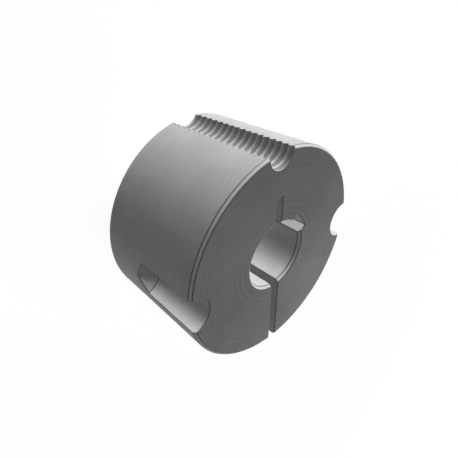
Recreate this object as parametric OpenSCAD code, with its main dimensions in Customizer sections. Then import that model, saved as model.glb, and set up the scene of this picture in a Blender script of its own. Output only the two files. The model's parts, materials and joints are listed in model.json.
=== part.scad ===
// Taper bush: a split, tapered sleeve that a hub draws down on to a shaft.
// It stands on its small end, with the bore axis on +Z and the large end on top.
// The saw cut faces +Y and the jacking half-hole faces -Y.

/* [Taper body] */
// Diameter that the taper reaches in the plane of the large end
large_end_d = 38.4; // [34:0.1:48]
// Length between the two end faces
bush_length = 22; // [18:0.5:40]
// Included angle of the taper, in degrees
taper_angle = 8; // [4:0.5:12]
// Chamfer round the rim of the large end
rim_chamfer = 0.5; // [0.2:0.1:1.5]

/* [Shaft bore] */
// Diameter of the bore that grips the shaft
bore_d = 12; // [9:0.5:20]
// Chamfer at both mouths of the bore
bore_chamfer = 0.5; // [0.2:0.1:1.5]
// Width of the keyway
key_width = 4; // [2:0.5:6]
// Depth of the keyway below the wall of the bore
key_depth = 1.5; // [0.8:0.1:2.5]
// Angle from the saw cut round to the keyway, in degrees
key_angle = 125; // [100:1:150]

/* [Split] */
// Width of the saw cut that opens one side of the bush
saw_cut_w = 1.6; // [0.8:0.1:3]
// Width of the relief slot opposite the saw cut
relief_slot_w = 1.6; // [0.8:0.1:3]
// Reach of the relief slot beyond the wall of the bore
relief_slot_reach = 5.2; // [2:0.1:7]

/* [Screw half-holes] */
// Distance of the screw axes inside the edge of the large end
screw_inset = 0.55; // [0:0.05:1.5]
// Diameter of the two plain half-holes
plain_hole_d = 6.8; // [5:0.1:8]
// Full-width depth of the plain half-holes from the large end
plain_hole_depth = 12.2; // [8:0.1:17]
// Included angle of the drill point at the foot of a plain half-hole, in degrees
drill_point_angle = 118; // [90:1:140]
// Angle from the jacking half-hole to each plain half-hole, in degrees
plain_hole_angle = 95; // [80:1:110]
// Tapping drill diameter of the jacking half-hole
jacking_hole_d = 5.1; // [4:0.1:7]

/* [Hidden] */
$fn = 120;

// Directions round the axis, seen from above the large end
saw_cut_direction = 90;
jacking_direction = saw_cut_direction + 180;
key_direction = saw_cut_direction + key_angle;

// How far each cutter runs past the face that it cuts
overrun = 1;

large_end_r = large_end_d / 2;
bore_r = bore_d / 2;
taper_slope = tan(taper_angle / 2);
screw_circle_r = large_end_r - screw_inset;
through_length = bush_length + 2 * overrun;

// Radius of the taper at a height above the small end
function taper_r(height) = large_end_r - (bush_length - height) * taper_slope;

// Turned blank: the taper, with its rim chamfered at the large end
module tapered_blank() {
    rotate_extrude()
        polygon([
            [0, 0],
            [taper_r(0), 0],
            [taper_r(bush_length - rim_chamfer), bush_length - rim_chamfer],
            [large_end_r - rim_chamfer, bush_length],
            [0, bush_length]
        ]);
}

// Chamfer at the bore mouth on the small end, widening downwards past the face
module bore_mouth() {
    translate([0, 0, -overrun])
        cylinder(
            h = bore_chamfer + overrun,
            r1 = bore_r + bore_chamfer + overrun,
            r2 = bore_r
        );
}

// Through bore with a chamfer at each mouth
module shaft_bore() {
    translate([0, 0, -overrun])
        cylinder(h = through_length, r = bore_r);
    bore_mouth();
    translate([0, 0, bush_length])
        mirror([0, 0, 1])
            bore_mouth();
}

// Straight cutter of one width, from the axis out to a reach, through both end faces
module radial_cut(direction, width, reach) {
    rotate([0, 0, direction])
        translate([0, -width / 2, -overrun])
            cube([reach, width, through_length]);
}

// Drilled half-hole from the large end, with the cone that the drill point leaves
module plain_half_hole(direction) {
    point_height = plain_hole_d / 2 / tan(drill_point_angle / 2);
    rotate([0, 0, direction])
        translate([screw_circle_r, 0, bush_length - plain_hole_depth]) {
            cylinder(h = plain_hole_depth + overrun, d = plain_hole_d);
            translate([0, 0, -point_height])
                cylinder(h = point_height, d1 = 0, d2 = plain_hole_d);
        }
}

// Half-hole from end to end, at the tapping size of the jacking screw
module jacking_half_hole() {
    rotate([0, 0, jacking_direction])
        translate([screw_circle_r, 0, -overrun])
            cylinder(h = through_length, d = jacking_hole_d);
}

module taper_bush() {
    color("dimgray")
        difference() {
            tapered_blank();
            shaft_bore();
            radial_cut(key_direction, key_width, bore_r + key_depth);
            radial_cut(saw_cut_direction, saw_cut_w, large_end_r + overrun);
            radial_cut(jacking_direction, relief_slot_w, bore_r + relief_slot_reach);
            for (side = [-1, 1])
                plain_half_hole(jacking_direction + side * plain_hole_angle);
            jacking_half_hole();
        }
}

taper_bush();
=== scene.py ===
# Taper bush in phosphated grey iron: real thread, broken edges, and a finish for each machined surface.
# It stands on its small end at z = 0, the saw cut faces +Y and the jacking half-hole faces -Y.
import bpy
import bmesh
import json
import math
from mathutils import Matrix, Vector


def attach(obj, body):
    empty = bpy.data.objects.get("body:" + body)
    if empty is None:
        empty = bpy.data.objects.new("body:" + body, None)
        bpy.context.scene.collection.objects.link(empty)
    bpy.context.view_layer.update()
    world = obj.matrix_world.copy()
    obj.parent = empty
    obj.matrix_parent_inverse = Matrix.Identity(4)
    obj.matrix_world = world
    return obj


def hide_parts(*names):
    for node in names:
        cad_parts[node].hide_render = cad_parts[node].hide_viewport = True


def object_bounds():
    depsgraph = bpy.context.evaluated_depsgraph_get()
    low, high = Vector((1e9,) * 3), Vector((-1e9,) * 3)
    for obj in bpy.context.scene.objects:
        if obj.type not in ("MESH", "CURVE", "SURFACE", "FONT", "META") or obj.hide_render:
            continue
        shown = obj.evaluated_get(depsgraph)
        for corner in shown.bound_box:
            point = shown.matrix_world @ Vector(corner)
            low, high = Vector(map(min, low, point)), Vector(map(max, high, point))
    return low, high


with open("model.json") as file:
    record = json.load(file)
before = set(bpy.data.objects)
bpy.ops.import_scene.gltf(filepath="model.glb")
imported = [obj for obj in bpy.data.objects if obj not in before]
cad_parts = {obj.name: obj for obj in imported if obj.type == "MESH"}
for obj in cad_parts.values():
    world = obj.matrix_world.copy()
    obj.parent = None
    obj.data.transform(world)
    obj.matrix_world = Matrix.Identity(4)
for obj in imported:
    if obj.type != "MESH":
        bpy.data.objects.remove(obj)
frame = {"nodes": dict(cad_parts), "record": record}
cadLow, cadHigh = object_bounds()
mm = 0.001                         # in metres, as every place and size here is
micron = 0.000001
mounts = {mount["name"]: mount for mount in frame["record"]["mounts"]}
bushLength = cadHigh.z - cadLow.z
print("frame loaded, the bush is", round(bushLength / mm, 2), "mm long")


def linearColor(hexCode):
    # sRGB hex such as "#747474" to the linear colour that the shaders take
    channels = [int(hexCode[i:i + 2], 16) / 255 for i in (1, 3, 5)]
    linear = [c / 12.92 if c <= 0.04045 else ((c + 0.055) / 1.055) ** 2.4 for c in channels]
    return (*linear, 1.0)


def addNode(tree, kind, settings=None, inputs=None):
    # One node: its own settings, then each input as a value or as the socket that feeds it
    node = tree.nodes.new(kind)
    for name, value in (settings or {}).items():
        setattr(node, name, value)
    for key, value in (inputs or {}).items():
        if isinstance(value, bpy.types.NodeSocket):
            tree.links.new(value, node.inputs[key])
        else:
            node.inputs[key].default_value = value
    return node


# Camera: an isometric direction, rolled so that the bush lies on its side in the picture
shot = {
    "lookFrom": (1, -1, 1),
    "up": (-1, -2, -1),
    "fieldOfView": 45,             # degrees
    "photoSize": 458,              # pixels, both ways
    "faceCentrePixel": (276.55, 255.36),
    "faceCentreDepth": 91.58,      # mm from the camera, along its line of sight
    "clipping": (0.001, 10),       # metres, the bush is nearer than the usual start
}


def placeCamera():
    back = Vector(shot["lookFrom"]).normalized()
    up = Vector(shot["up"]).normalized()
    right = up.cross(back)
    data = bpy.data.cameras.new("photoCamera")
    data.angle = math.radians(shot["fieldOfView"])
    data.clip_start, data.clip_end = shot["clipping"]
    half = shot["photoSize"] / 2
    depth = shot["faceCentreDepth"] * mm
    perPixel = math.tan(data.angle / 2) * depth / half
    acrossBy = (shot["faceCentrePixel"][0] - half) * perPixel
    downBy = (shot["faceCentrePixel"][1] - half) * perPixel
    faceCentre = Vector((0, 0, bushLength))
    place = faceCentre - right * acrossBy + up * downBy + back * depth
    camera = bpy.data.objects.new("photoCamera", data)
    bpy.context.scene.collection.objects.link(camera)
    camera.matrix_world = Matrix.Translation(place) @ Matrix((right, up, back)).transposed().to_4x4()
    bpy.context.scene.camera = camera


placeCamera()
print("camera placed")

# Phosphated grey cast iron: a thin matt crystalline coat, so it scatters light and hardly mirrors
iron = {
    "light": "#7b7b7b",
    "dark": "#6c6c6d",
    "cloudSize": 5.0,              # mm, patches where the coat took unevenly
    "grainSize": 0.22,             # mm, crystals are really about 0.02 mm, drawn coarser so that they show
    "grainShare": 0.35,            # of the tone between the tool's lines, the clouds give the rest
    "grainHeight": 4,              # micrometres
    "toneRange": (0.3, 0.7),       # values of the mixed noise that give the dark and the light colour
    "fleck": "#57575a",            # graphite flakes and pores of the iron
    "fleckSize": 0.8,              # mm between flakes, really about 0.1 mm, drawn coarser so that they show
    "fleckEdge": (0.06, 0.14),     # of that distance, where a flake starts to fade and where it ends
    "fleckStrength": 0.55,         # at a flake's middle
    "roughness": 0.55,
    "roughnessSpread": 0.06,       # to each side, the dark parts are the rougher ones
    "metallic": 0.0,
    "specular": 0.25,
    "anisotropic": 0.5,            # turned lines spread a highlight across themselves
}


def machinedIron(name, marks, pitch, depth, contrast,
                 light=iron["light"], dark=iron["dark"], turned=False, heading=0):
    # marks: "bands" one above the other, "circles" round the bore, or "strokes" from end to end
    # pitch in mm, depth in micrometres, and for strokes the keyway's heading in degrees
    material = bpy.data.materials.new(name)
    material.use_nodes = True
    tree = material.node_tree
    tree.nodes.clear()
    place = addNode(tree, "ShaderNodeTexCoord").outputs["Object"]
    inMm = addNode(tree, "ShaderNodeMapping", None, {
        "Vector": place, "Scale": (1 / mm,) * 3, "Rotation": (0, 0, -math.radians(heading)),
    }).outputs["Vector"]
    if marks == "circles":
        flat = addNode(tree, "ShaderNodeVectorMath", {"operation": "MULTIPLY"}, {0: inMm, 1: (1, 1, 0)})
        radius = addNode(tree, "ShaderNodeVectorMath", {"operation": "LENGTH"}, {0: flat.outputs[0]})
        across = radius.outputs["Value"]
    else:
        parts = addNode(tree, "ShaderNodeSeparateXYZ", None, {"Vector": inMm})
        across = parts.outputs[{"bands": "Z", "strokes": "Y"}[marks]]
    feed = addNode(tree, "ShaderNodeMath", {"operation": "DIVIDE"}, {0: across, 1: pitch})
    # Lines of uneven strength, about one to each feed of the tool
    lines = addNode(tree, "ShaderNodeTexNoise", {"noise_dimensions": "1D"}, {
        "W": feed.outputs[0], "Scale": 1.0, "Detail": 2.0, "Roughness": 0.6,
    }).outputs["Fac"]
    cloud = addNode(tree, "ShaderNodeTexNoise", None, {
        "Vector": inMm, "Scale": 1 / iron["cloudSize"], "Detail": 4.0, "Roughness": 0.55,
    }).outputs["Fac"]
    grain = addNode(tree, "ShaderNodeTexNoise", None, {
        "Vector": inMm, "Scale": 1 / iron["grainSize"], "Detail": 2.0, "Roughness": 0.6,
    }).outputs["Fac"]
    flakes = addNode(tree, "ShaderNodeTexVoronoi", None, {
        "Vector": inMm, "Scale": 1 / iron["fleckSize"], "Randomness": 1.0,
    }).outputs["Distance"]
    isFlake = addNode(tree, "ShaderNodeMapRange", None, {
        "Value": flakes, "From Min": iron["fleckEdge"][0], "From Max": iron["fleckEdge"][1],
        "To Min": iron["fleckStrength"], "To Max": 0.0,
    }).outputs["Result"]
    # Tone: clouds and grain, with the tool's lines over them by their contrast, and flakes on top
    clouded = addNode(tree, "ShaderNodeMix", {"data_type": "FLOAT"}, {
        "Factor": iron["grainShare"], "A": cloud, "B": grain,
    }).outputs["Result"]
    lined = addNode(tree, "ShaderNodeMix", {"data_type": "FLOAT"}, {
        "Factor": contrast, "A": clouded, "B": lines,
    }).outputs["Result"]
    low, high = iron["toneRange"]
    tone = addNode(tree, "ShaderNodeMapRange", None, {
        "Value": lined, "From Min": low, "From Max": high,
    }).outputs["Result"]
    coat = addNode(tree, "ShaderNodeMix", {"data_type": "RGBA"}, {
        "Factor": tone, "A": linearColor(dark), "B": linearColor(light),
    }).outputs["Result"]
    color = addNode(tree, "ShaderNodeMix", {"data_type": "RGBA"}, {
        "Factor": isFlake, "A": coat, "B": linearColor(iron["fleck"]),
    }).outputs["Result"]
    gloss = addNode(tree, "ShaderNodeMapRange", None, {
        "Value": lined, "From Min": low, "From Max": high,
        "To Min": iron["roughness"] + iron["roughnessSpread"],
        "To Max": iron["roughness"] - iron["roughnessSpread"],
    }).outputs["Result"]
    crystals = addNode(tree, "ShaderNodeBump", None, {
        "Height": grain, "Strength": 1.0, "Distance": iron["grainHeight"] * micron,
    }).outputs["Normal"]
    relief = addNode(tree, "ShaderNodeBump", None, {
        "Height": lines, "Strength": 1.0, "Distance": depth * micron, "Normal": crystals,
    }).outputs["Normal"]
    # The tangent runs round the bush, as the lathe's lines do
    around = addNode(tree, "ShaderNodeVectorMath", {"operation": "CROSS_PRODUCT"}, {0: (0, 0, 1), 1: place})
    surface = addNode(tree, "ShaderNodeBsdfPrincipled", None, {
        "Base Color": color, "Roughness": gloss, "Normal": relief,
        "Metallic": iron["metallic"], "Specular IOR Level": iron["specular"],
        "Anisotropic": iron["anisotropic"] if turned else 0.0, "Tangent": around.outputs["Vector"],
    })
    addNode(tree, "ShaderNodeOutputMaterial", None, {"Surface": surface.outputs["BSDF"]})
    return material


keyPlace = mounts["keyway"]["pos_m"]
keyHeading = math.degrees(math.atan2(keyPlace[1], keyPlace[0]))
finishes = {
    # Lathe-turned taper: fine bands run round it
    "turned": machinedIron("turnedPhosphatedIron", "bands", pitch=0.45, depth=8, contrast=0.4, turned=True),
    # Faced ends: the same lathe lines, as circles round the bore
    "faced": machinedIron("facedPhosphatedIron", "circles", pitch=0.6, depth=6, contrast=0.4, turned=True),
    # Bored wall: finer bands, in a paler grey than outside, painted light that lifts the shade deep in the
    # bore
    "bored": machinedIron("boredPhosphatedIron", "bands", pitch=0.35, depth=6, contrast=0.4,
                          light="#828282", dark="#727273", turned=True),
    # Drilled half-holes and drill points: deeper bands, one for each turn of the drill, in a paler grey
    # than outside, painted light that lifts the shade in the half-holes
    "drilled": machinedIron("drilledPhosphatedIron", "bands", pitch=0.4, depth=12, contrast=0.4,
                            light="#808080", dark="#707071"),
    # Sawn slots: the deepest and most uneven lines, straight across the wall, in a grey a little darker
    # than outside, painted shade in the narrow slots
    "sawn": machinedIron("sawnPhosphatedIron", "bands", pitch=0.4, depth=14, contrast=0.5,
                         light="#767676", dark="#666667"),
    # Broached keyway: straight strokes from end to end, in the palest grey, painted light that lifts the
    # shade in the keyway
    "broached": machinedIron("broachedPhosphatedIron", "strokes", pitch=0.25, depth=10, contrast=0.4,
                             light="#969696", dark="#868687", heading=keyHeading),
    # Thread crests: what is left of the drilled wall, in a paler grey, painted light that lifts the
    # thread's shaded half
    "crest": machinedIron("paleThreadCrestPaintedLight", "bands", pitch=0.2, depth=3, contrast=0.2,
                          light="#848484", dark="#747475"),
    # Chamfered rim: a smooth ring between two painted dark edges, its paler grey painted light that
    # brightens the narrow chamfer
    "rimChamfer": machinedIron("chamferedPhosphatedIron", "bands", pitch=0.15, depth=4, contrast=0.3,
                               light="#868686", dark="#767677"),
    # Countersunk bore mouths: the same, a little paler still, painted light as well
    "boreChamfer": machinedIron("countersunkPhosphatedIron", "bands", pitch=0.15, depth=4, contrast=0.3,
                                light="#8a8a8a", dark="#7a7a7b"),
    # Tapped thread: smooth flanks and roots, with hardly a mark, in a paler grey than outside, painted
    # light that lifts the shade in the thread
    "tapped": machinedIron("tappedPhosphatedIron", "bands", pitch=0.2, depth=3, contrast=0.2,
                           light="#808080", dark="#717172"),
    # Broken edges: coloured dark as painted shade, so that each corner shows as a thin dark line
    "edge": machinedIron("deburredEdgePaintedShade", "bands", pitch=0.5, depth=2, contrast=0.2,
                         light="#464646", dark="#363636"),
}
print("finishes made:", ", ".join(finishes))

# Thread of the jacking half-hole: 1/4 inch, 20 turns to the inch, right-handed
thread = {
    "outerDiameter": 6.35,         # mm
    "pitch": 1.27,                 # mm
    "flankAngle": 55,              # degrees between flanks
    "rootCut": 1 / 6,              # of the sharp V's height, lost at the root
    "rootRounding": 0.1,           # mm
    "roundingSteps": 3,
    "leadIn": 1.81,                # mm of helix below the small end, and then a crest meets the large end
    "stepsPerTurn": 48,
    "undercut": 0.35,              # mm that the cutter starts inside the drilled wall
    "sliver": 0.001,               # mm, points closer than this become one
}


def buildThreadTree():
    # A V profile swept along a helix, taken out of the body that comes in
    tree = bpy.data.node_groups.new("cutThread", "GeometryNodeTree")
    sockets = {
        "Geometry": ("Geometry",),
        "Float": ("Pitch", "Lead In", "Bottom", "Top", "Inner Radius", "Outer Radius", "Flank Angle",
                  "Root Cut", "Root Rounding", "Sliver", "Smooth Below"),
        "Int": ("Steps Per Turn", "Rounding Steps"),
        "Vector": ("Axis",),
        "Material": ("Finish",),
    }
    for kind, names in sockets.items():
        for name in names:
            tree.interface.new_socket(name, in_out="INPUT", socket_type="NodeSocket" + kind)
    tree.interface.new_socket("Geometry", in_out="OUTPUT", socket_type="NodeSocketGeometry")
    size = {socket.name: socket for socket in addNode(tree, "NodeGroupInput").outputs}

    # Sizes worked out one after the other: a name, the sum that gives it, and what goes into the sum
    sums = (
        ("foot", "SUBTRACT", "Bottom", "Lead In"),
        ("rise", "SUBTRACT", "Top", "foot"),
        ("span", "ADD", "rise", "Pitch"),
        ("turns", "DIVIDE", "span", "Pitch"),
        ("bothRadii", "ADD", "Inner Radius", "Outer Radius"),
        ("middle", "MULTIPLY", "bothRadii", 0.5),
        ("halfFlank", "MULTIPLY", "Flank Angle", 0.5),
        ("slope", "TANGENT", "halfFlank"),
        ("halfPitch", "MULTIPLY", "Pitch", 0.5),
        ("sharpHeight", "DIVIDE", "halfPitch", "slope"),
        ("lostHeight", "MULTIPLY", "sharpHeight", "Root Cut"),
        ("halfRoot", "MULTIPLY", "lostHeight", "slope"),
        ("rootWidth", "MULTIPLY", "halfRoot", 2),
        ("depth", "SUBTRACT", "Outer Radius", "Inner Radius"),
        ("flank", "MULTIPLY", "depth", "slope"),
        ("bothFlanks", "MULTIPLY", "flank", 2),
        ("mouthWidth", "ADD", "rootWidth", "bothFlanks"),
    )
    for name, operation, *terms in sums:
        feeds = {order: size.get(term, term) for order, term in enumerate(terms)}
        size[name] = addNode(tree, "ShaderNodeMath", {"operation": operation}, feeds).outputs[0]

    # Path: from the lead-in below the small end to one pitch above the large end
    helix = addNode(tree, "GeometryNodeCurveSpiral", None, {
        "Resolution": size["Steps Per Turn"], "Rotations": size["turns"], "Height": size["span"],
        "Start Radius": size["middle"], "End Radius": size["middle"], "Reverse": True,
    })
    upright = addNode(tree, "GeometryNodeSetCurveNormal", {"mode": "Z_UP"}, {
        "Curve": helix.outputs["Curve"],
    })
    lowered = addNode(tree, "ShaderNodeCombineXYZ", None, {"Z": size["foot"]})
    start = addNode(tree, "ShaderNodeVectorMath", {"operation": "ADD"}, {
        0: size["Axis"], 1: lowered.outputs["Vector"],
    })
    path = addNode(tree, "GeometryNodeTransform", None, {
        "Geometry": upright.outputs["Curve"], "Translation": start.outputs["Vector"],
    })
    # Profile: a V that is cut off and rounded at its root, turned to point away from the helix's axis
    vee = addNode(tree, "GeometryNodeCurvePrimitiveQuadrilateral", {"mode": "TRAPEZOID"}, {
        "Height": size["depth"], "Bottom Width": size["mouthWidth"], "Top Width": size["rootWidth"],
        "Offset": 0.0,
    })
    rounded = addNode(tree, "GeometryNodeFilletCurve", {"mode": "POLY"}, {
        "Curve": vee.outputs["Curve"], "Count": size["Rounding Steps"], "Radius": size["Root Rounding"],
        "Limit Radius": True,
    })
    outwards = addNode(tree, "GeometryNodeTransform", None, {
        "Geometry": rounded.outputs["Curve"], "Rotation": (0, 0, -math.pi / 2),
    })
    cutter = addNode(tree, "GeometryNodeCurveToMesh", None, {
        "Curve": path.outputs["Geometry"], "Profile Curve": outwards.outputs["Geometry"], "Fill Caps": True,
    })
    # The cutter's faces keep a flag through the cut, and get the thread's finish by it
    flagged = addNode(tree, "GeometryNodeStoreNamedAttribute", {"data_type": "BOOLEAN", "domain": "FACE"}, {
        "Geometry": cutter.outputs["Mesh"], "Name": "threaded", "Value": True,
    })
    cut = addNode(tree, "GeometryNodeMeshBoolean", {"operation": "DIFFERENCE", "solver": "EXACT"}, {
        "Mesh 1": size["Geometry"], "Mesh 2": flagged.outputs["Geometry"],
    })
    # Slivers from the cut close up, then shading is smooth round the walls and breaks at each real corner
    clean = addNode(tree, "GeometryNodeMergeByDistance", None, {
        "Geometry": cut.outputs["Mesh"], "Distance": size["Sliver"],
    })
    bend = addNode(tree, "GeometryNodeInputMeshEdgeAngle")
    isSmooth = addNode(tree, "FunctionNodeCompare", {"data_type": "FLOAT", "operation": "LESS_THAN"}, {
        "A": bend.outputs["Unsigned Angle"], "B": size["Smooth Below"],
    })
    smooth = addNode(tree, "GeometryNodeSetShadeSmooth", {"domain": "FACE"}, {
        "Geometry": clean.outputs["Geometry"], "Shade Smooth": True,
    })
    creased = addNode(tree, "GeometryNodeSetShadeSmooth", {"domain": "EDGE"}, {
        "Geometry": smooth.outputs["Geometry"], "Shade Smooth": isSmooth.outputs["Result"],
    })
    whole = addNode(tree, "GeometryNodeRealizeInstances", None, {"Geometry": creased.outputs["Geometry"]})
    isCut = addNode(tree, "GeometryNodeInputNamedAttribute", {"data_type": "BOOLEAN"}, {"Name": "threaded"})
    finished = addNode(tree, "GeometryNodeSetMaterial", None, {
        "Geometry": whole.outputs["Geometry"], "Selection": isCut.outputs["Attribute"],
        "Material": size["Finish"],
    })
    addNode(tree, "NodeGroupOutput", None, {"Geometry": finished.outputs["Geometry"]})
    return tree


# The bush's own mesh: the CAD solid, its edges broken, with the thread cut
bush = {
    "name": "machined_bush",
    "edgeBreak": 0.12,             # mm, as deburring leaves it
    "edgeSegments": 2,
    "sharpAngle": 30,              # degrees, a corner above this stays crisp
    "flatWithin": 0.3,             # degrees, triangles that bend less than this grow together
    "weldWithin": 0.001,           # mm
    "shadingWeight": 80,           # how far the large faces lead the shading, of 100
    "sawnWidth": 1.6,              # mm, of the saw cut and the relief slot
}

# What tells one machined surface from another, as parts of a unit normal and shares of a size
limits = {
    "endFace": 0.98,               # of the normal points up or down, at least
    "chamfer": (0.6, 0.8),         # of it does so on a 45 degree chamfer
    "drillPoint": 0.4,             # of it points up on the cone that a drill left, at least
    "sideWall": 0.65,              # of it points away from the bore's axis or to it, at least
    "drilledWall": 0.7,            # of it points to the drill's axis, at least
    "drilledReach": (0.97, 1.01),  # of the drill's radius, where its wall lies
    "boreReach": 1.1,              # of the bore's radius, where its wall ends
    "sawnReach": 1.01,             # of half the saw's width, where a slot's wall ends
}


def mergedCopy(node):
    # The CAD mesh is loose triangles: weld them, then let flat ones grow together
    mesh = node.data.copy()
    mesh.materials.clear()
    shape = bmesh.new()
    shape.from_mesh(mesh)
    bmesh.ops.remove_doubles(shape, verts=shape.verts, dist=bush["weldWithin"] * mm)
    bmesh.ops.dissolve_limit(shape, angle_limit=math.radians(bush["flatWithin"]),
                             verts=shape.verts, edges=shape.edges)
    shape.to_mesh(mesh)
    shape.free()
    return mesh


def setInputs(modifier, values):
    # A modifier's inputs go by the sockets' identifiers
    for item in modifier.node_group.interface.items_tree:
        if item.item_type == "SOCKET" and item.in_out == "INPUT" and item.name in values:
            modifier[item.identifier] = values[item.name]


def inHalfHole(mount, spot, normal):
    # On the drilled wall, whose normal points at the drill's axis, or on the cone that the drill point left
    radius = mount["dims"]["r_mm"] * mm
    near, far = (share * radius for share in limits["drilledReach"])
    toAxis = (Vector(mount["pos_m"]) - spot) * Vector((1, 1, 0))
    onWall = near < toAxis.length < far and toAxis.normalized().dot(normal) > limits["drilledWall"]
    onCone = toAxis.length < radius and normal.z > limits["drillPoint"]
    return onWall or onCone


def finishAt(spot, normal):
    # Which tool made the surface at this place, by its distance from each axis and the way it faces
    if abs(normal.z) > limits["endFace"]:
        return "faced"
    radius = math.hypot(spot.x, spot.y)
    outwards = (spot.x * normal.x + spot.y * normal.y) / radius
    if limits["chamfer"][0] < abs(normal.z) < limits["chamfer"][1]:
        return "rimChamfer" if outwards > 0 else "boreChamfer"
    for name in ("plain_half_hole_right", "plain_half_hole_left", "jacking_half_hole"):
        if inHalfHole(mounts[name], spot, normal):
            return "crest" if name == "jacking_half_hole" else "drilled"
    if outwards > limits["sideWall"]:
        return "turned"
    boreRadius = mounts["shaft_bore"]["dims"]["r_mm"] * mm
    if radius < boreRadius * limits["boreReach"] and outwards < -limits["sideWall"]:
        return "bored"
    sawnReach = bush["sawnWidth"] / 2 * limits["sawnReach"] * mm
    return "sawn" if abs(spot.x) < sawnReach else "broached"


def buildBush():
    mesh = mergedCopy(frame["nodes"]["taper_bush"])
    for finish in finishes.values():
        mesh.materials.append(finish)
    slots = list(finishes)
    piece = bpy.data.objects.new(bush["name"], mesh)
    bpy.context.scene.collection.objects.link(piece)
    broken = piece.modifiers.new("brokenEdges", "BEVEL")
    broken.width = bush["edgeBreak"] * mm
    broken.segments = bush["edgeSegments"]
    broken.limit_method = "ANGLE"
    broken.angle_limit = math.radians(bush["sharpAngle"])
    broken.use_clamp_overlap = False
    broken.material = slots.index("edge")
    cutter = piece.modifiers.new("thread", "NODES")
    cutter.node_group = buildThreadTree()
    jacking = mounts["jacking_half_hole"]
    setInputs(cutter, {
        "Pitch": thread["pitch"] * mm,
        "Lead In": thread["leadIn"] * mm,
        "Bottom": cadLow.z,
        "Top": cadHigh.z,
        "Inner Radius": (jacking["dims"]["r_mm"] - thread["undercut"]) * mm,
        "Outer Radius": thread["outerDiameter"] / 2 * mm,
        "Flank Angle": math.radians(thread["flankAngle"]),
        "Root Cut": thread["rootCut"],
        "Root Rounding": thread["rootRounding"] * mm,
        "Rounding Steps": thread["roundingSteps"],
        "Sliver": thread["sliver"] * mm,
        "Axis": (jacking["pos_m"][0], jacking["pos_m"][1], 0.0),
        "Steps Per Turn": thread["stepsPerTurn"],
        "Smooth Below": math.radians(bush["sharpAngle"]),
        "Finish": finishes["tapped"],
    })
    weighted = piece.modifiers.new("evenShading", "WEIGHTED_NORMAL")
    weighted.keep_sharp = True
    weighted.weight = bush["shadingWeight"]
    graph = bpy.context.evaluated_depsgraph_get()
    finished = bpy.data.meshes.new_from_object(piece.evaluated_get(graph))
    piece.modifiers.clear()
    piece.data = finished
    finished.attributes.remove(finished.attributes["threaded"])    # only the tree needed it
    for face in finished.polygons:
        madeBy = finished.materials[face.material_index]
        if madeBy not in (finishes["edge"], finishes["tapped"]):
            face.material_index = slots.index(finishAt(face.center, face.normal))
    return piece


piece = buildBush()
print("bush built:", len(piece.data.polygons), "faces,", [m.name for m in piece.data.materials])

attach(piece, "root")
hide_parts("taper_bush")

# Studio: a long low softbox beside the jacking half-hole, three weak fills, a dim room and a pale floor
studio = {
    "lampDistance": 0.9,           # metres from the middle of the bush
    "lamps": {
        # azimuth and elevation in degrees, width and height in metres, watts, casts shadows
        "softbox": (-124, 1.5, 0.66, 0.06, 30.5, False),
        "frontFill": (25, 15, 0.9, 0.1, 2.0, False),
        "overhead": (-40, 60, 0.45, 0.45, 0.9, True),
        "backFill": (125, 4, 0.9, 0.1, 5.4, True),
    },
    "roomColor": "#ffffff",
    "roomLight": 0.12,             # strength of the room for everything but the eye
    "roomSeen": 1.0,               # and for the eye, where 1 is white
    "floorSize": 4.0,              # metres
    "floorColor": "#cfcfcf",
    "nearGlow": 0.715,             # what the floor adds for the eye, just white where no shadow falls
    "farGlow": 0.93,               # and beyond the lamps, so that no horizon shows
    "glowReach": (0.1, 0.7),       # metres from the bush over which one passes into the other
}


def addSoftbox(name, azimuth, elevation, width, height, watts, castsShadow):
    data = bpy.data.lights.new(name, "AREA")
    data.shape = "RECTANGLE"
    data.size = width
    data.size_y = height
    data.energy = watts
    data.use_shadow = castsShadow
    box = bpy.data.objects.new(name, data)
    bpy.context.scene.collection.objects.link(box)
    level = math.cos(math.radians(elevation))
    towards = Vector((math.cos(math.radians(azimuth)) * level, math.sin(math.radians(azimuth)) * level,
                      math.sin(math.radians(elevation))))
    box.location = Vector((0, 0, bushLength / 2)) + towards * studio["lampDistance"]
    box.rotation_euler = towards.to_track_quat("Z", "Y").to_euler()


def seenDirectly(tree):
    # 1 for rays that show a background: from the camera, off gloss, or through glass
    path = addNode(tree, "ShaderNodeLightPath").outputs
    either = addNode(tree, "ShaderNodeMath", {"operation": "MAXIMUM"}, {
        0: path["Is Camera Ray"], 1: path["Is Glossy Ray"],
    })
    return addNode(tree, "ShaderNodeMath", {"operation": "MAXIMUM"}, {
        0: either.outputs[0], 1: path["Is Transmission Ray"],
    }).outputs[0]


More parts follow.
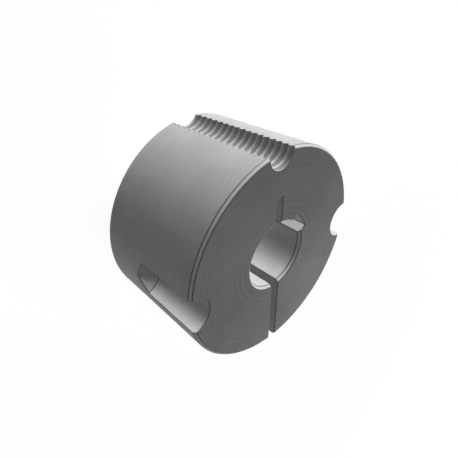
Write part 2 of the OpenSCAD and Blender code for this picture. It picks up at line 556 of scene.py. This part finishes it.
def buildWorld():
    world = bpy.data.worlds.new("studioRoom")
    world.use_nodes = True
    tree = world.node_tree
    tree.nodes.clear()
    dim, white = [addNode(tree, "ShaderNodeBackground", None, {
        "Color": linearColor(studio["roomColor"]), "Strength": studio[strength],
    }) for strength in ("roomLight", "roomSeen")]
    either = addNode(tree, "ShaderNodeMixShader", None, {
        0: seenDirectly(tree), 1: dim.outputs[0], 2: white.outputs[0],
    })
    addNode(tree, "ShaderNodeOutputWorld", None, {"Surface": either.outputs[0]})
    bpy.context.scene.world = world


def buildFloor():
    material = bpy.data.materials.new("paleMattFloor")
    material.use_nodes = True
    tree = material.node_tree
    tree.nodes.clear()
    matt = addNode(tree, "ShaderNodeBsdfDiffuse", None, {"Color": linearColor(studio["floorColor"])})
    place = addNode(tree, "ShaderNodeTexCoord").outputs["Object"]
    away = addNode(tree, "ShaderNodeVectorMath", {"operation": "LENGTH"}, {0: place})
    reach = addNode(tree, "ShaderNodeMapRange", {"interpolation_type": "SMOOTHSTEP"}, {
        "Value": away.outputs["Value"],
        "From Min": studio["glowReach"][0], "From Max": studio["glowReach"][1],
        "To Min": studio["nearGlow"], "To Max": studio["farGlow"],
    })
    strength = addNode(tree, "ShaderNodeMath", {"operation": "MULTIPLY"}, {
        0: seenDirectly(tree), 1: reach.outputs["Result"],
    })
    glow = addNode(tree, "ShaderNodeEmission", None, {"Strength": strength.outputs[0]})
    both = addNode(tree, "ShaderNodeAddShader", None, {0: matt.outputs[0], 1: glow.outputs[0]})
    addNode(tree, "ShaderNodeOutputMaterial", None, {"Surface": both.outputs[0]})
    half = studio["floorSize"] / 2
    corners = [(-half, -half, 0), (half, -half, 0), (half, half, 0), (-half, half, 0)]
    mesh = bpy.data.meshes.new("studioFloor")
    mesh.from_pydata(corners, [], [(0, 1, 2, 3)])
    mesh.materials.append(material)
    floor = bpy.data.objects.new("studioFloor", mesh)
    bpy.context.scene.collection.objects.link(floor)


for lampName, lampValues in studio["lamps"].items():
    addSoftbox(lampName, *lampValues)
buildWorld()
buildFloor()
bpy.context.scene.view_settings.view_transform = "Standard"
print("studio lit")
